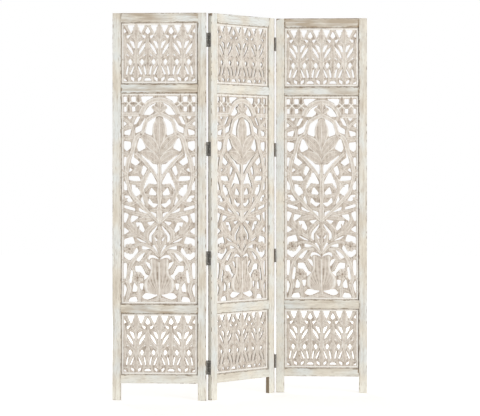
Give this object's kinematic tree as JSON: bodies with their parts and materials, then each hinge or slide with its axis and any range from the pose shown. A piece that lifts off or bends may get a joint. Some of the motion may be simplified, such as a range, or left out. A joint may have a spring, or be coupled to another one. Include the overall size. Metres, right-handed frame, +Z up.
{
  "type": "carved jali screen",
  "caption": "Folding room screen: whitewashed wooden frames on legs hold pierced, carved floral jali boards and are joined by pinned butt hinges.",
  "frame": {"origin": "on the floor under the centre of the middle panel, which is the centre of the box round the half-open screen", "axes": "+Z up, outer panels parallel to X, carved fronts towards -Y, middle panel turned 50 degrees about +Z"},
  "size_m": [1.0868, 0.3402, 1.65],
  "materials": {
    "frame_wood": "whitewashed mango wood, matt, slightly distressed",
    "carved_board": "whitewashed carved mango wood, matt, darker in the recesses",
    "hinge_metal": "blackened iron, satin"
  },
  "bodies": {
    "left_panel": {"left_panel_left_stile": "frame_wood", "left_panel_right_stile": "frame_wood", "left_panel_bottom_rail": "frame_wood", "left_panel_lower_rail": "frame_wood", "left_panel_upper_rail": "frame_wood", "left_panel_top_rail": "frame_wood", "left_panel_bottom_jali": "carved_board", "left_panel_centre_jali": "carved_board", "left_panel_top_jali": "carved_board", "left_fold_hinge_1_swinging_leaf": "hinge_metal", "left_fold_hinge_2_swinging_leaf": "hinge_metal", "left_fold_hinge_3_swinging_leaf": "hinge_metal", "left_fold_hinge_4_swinging_leaf": "hinge_metal"},
    "middle_panel": {"middle_panel_left_stile": "frame_wood", "middle_panel_right_stile": "frame_wood", "middle_panel_bottom_rail": "frame_wood", "middle_panel_lower_rail": "frame_wood", "middle_panel_upper_rail": "frame_wood", "middle_panel_top_rail": "frame_wood", "middle_panel_bottom_jali": "carved_board", "middle_panel_centre_jali": "carved_board", "middle_panel_top_jali": "carved_board", "left_fold_hinge_1_fixed_leaf": "hinge_metal", "left_fold_hinge_2_fixed_leaf": "hinge_metal", "left_fold_hinge_3_fixed_leaf": "hinge_metal", "left_fold_hinge_4_fixed_leaf": "hinge_metal", "right_fold_hinge_1_fixed_leaf": "hinge_metal", "right_fold_hinge_2_fixed_leaf": "hinge_metal", "right_fold_hinge_3_fixed_leaf": "hinge_metal", "right_fold_hinge_4_fixed_leaf": "hinge_metal"},
    "right_panel": {"right_panel_left_stile": "frame_wood", "right_panel_right_stile": "frame_wood", "right_panel_bottom_rail": "frame_wood", "right_panel_lower_rail": "frame_wood", "right_panel_upper_rail": "frame_wood", "right_panel_top_rail": "frame_wood", "right_panel_bottom_jali": "carved_board", "right_panel_centre_jali": "carved_board", "right_panel_top_jali": "carved_board", "right_fold_hinge_1_swinging_leaf": "hinge_metal", "right_fold_hinge_2_swinging_leaf": "hinge_metal", "right_fold_hinge_3_swinging_leaf": "hinge_metal", "right_fold_hinge_4_swinging_leaf": "hinge_metal"}
  },
  "joints": [
    {"name": "left_fold", "type": "hinge", "parent": "middle_panel", "child": "left_panel", "pos_m": [-0.14111, -0.14561, 0.8375], "axis": [0, 0, -1], "range_deg": [-50, 130]},
    {"name": "right_fold", "type": "hinge", "parent": "middle_panel", "child": "right_panel", "pos_m": [0.14111, 0.14561, 0.8375], "axis": [0, 0, -1], "range_deg": [-50, 130]}
  ]
}
